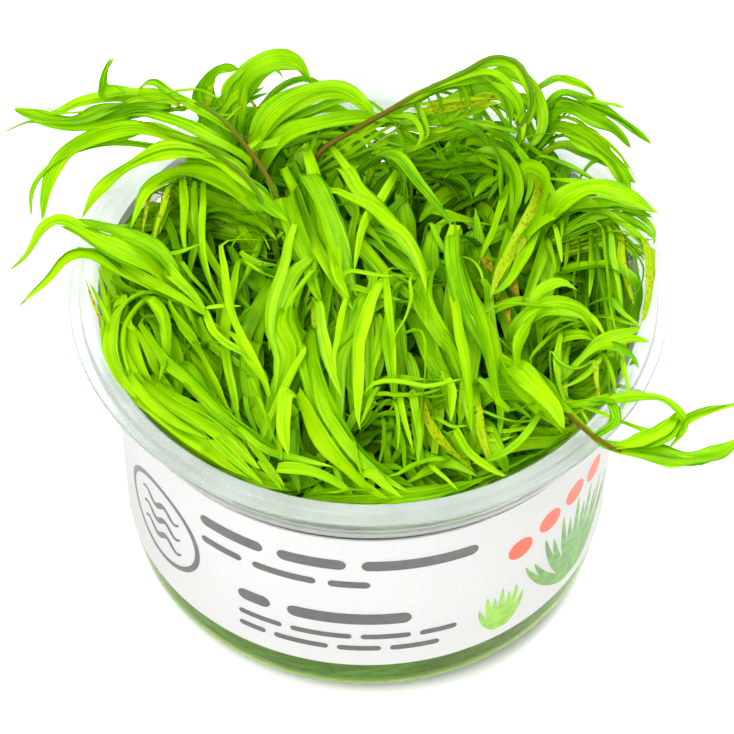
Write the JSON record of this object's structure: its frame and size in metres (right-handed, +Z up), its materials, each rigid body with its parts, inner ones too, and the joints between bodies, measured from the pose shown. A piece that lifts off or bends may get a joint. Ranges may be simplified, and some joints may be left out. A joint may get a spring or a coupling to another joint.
{
  "type": "potted aquarium plant in a clear culture cup",
  "caption": "Bright green strap-leaved aquarium plant grown in a clear round cup with a wide rim and a wrap label, its leaves arching over the rim.",
  "frame": {"origin": "centre of the cup's flat base, on the surface it stands on", "axes": "+Z up along the cup's axis; -Y towards the side seen in the picture; +X to the right of that view"},
  "size_m": [0.1245, 0.1, 0.0805],
  "materials": {
    "cup_plastic": "moulded translucent, smooth",
    "label_film": "white printed label film, satin",
    "gel": "clear soft gel, wet",
    "leaf_green": "thin fresh leaf, soft sheen"
  },
  "bodies": {
    "root": {"cup": "cup_plastic", "label": "label_film", "growing_gel": "gel", "shoot_upper_left": "leaf_green", "shoot_left_spray": "leaf_green", "shoot_left_hook": "leaf_green", "shoot_front_curl": "leaf_green", "shoot_back_arch": "leaf_green", "shoot_back_runner": "leaf_green", "shoot_right_spray": "leaf_green", "shoot_right_bundle": "leaf_green", "shoot_right_loops": "leaf_green", "shoot_over_rim": "leaf_green", "shoot_middle_back": "leaf_green", "shoot_middle_fold": "leaf_green", "shoot_middle_front": "leaf_green", "shoot_middle_right": "leaf_green", "shoot_twisted": "leaf_green", "shoot_front_right": "leaf_green", "shoot_filler_01": "leaf_green", "shoot_filler_02": "leaf_green", "shoot_filler_03": "leaf_green", "shoot_filler_04": "leaf_green", "shoot_filler_05": "leaf_green", "shoot_filler_06": "leaf_green", "shoot_filler_07": "leaf_green", "shoot_filler_08": "leaf_green", "shoot_filler_09": "leaf_green", "shoot_filler_10": "leaf_green", "shoot_filler_11": "leaf_green", "shoot_filler_12": "leaf_green", "shoot_filler_13": "leaf_green", "shoot_filler_14": "leaf_green", "shoot_filler_15": "leaf_green", "shoot_filler_16": "leaf_green", "shoot_filler_17": "leaf_green", "shoot_filler_18": "leaf_green", "shoot_filler_19": "leaf_green", "shoot_filler_20": "leaf_green", "shoot_filler_21": "leaf_green", "shoot_filler_22": "leaf_green", "shoot_filler_23": "leaf_green", "shoot_filler_24": "leaf_green", "shoot_filler_25": "leaf_green", "shoot_filler_26": "leaf_green", "shoot_filler_27": "leaf_green", "shoot_filler_28": "leaf_green", "shoot_filler_29": "leaf_green", "shoot_filler_30": "leaf_green"}
  },
  "joints": []
}
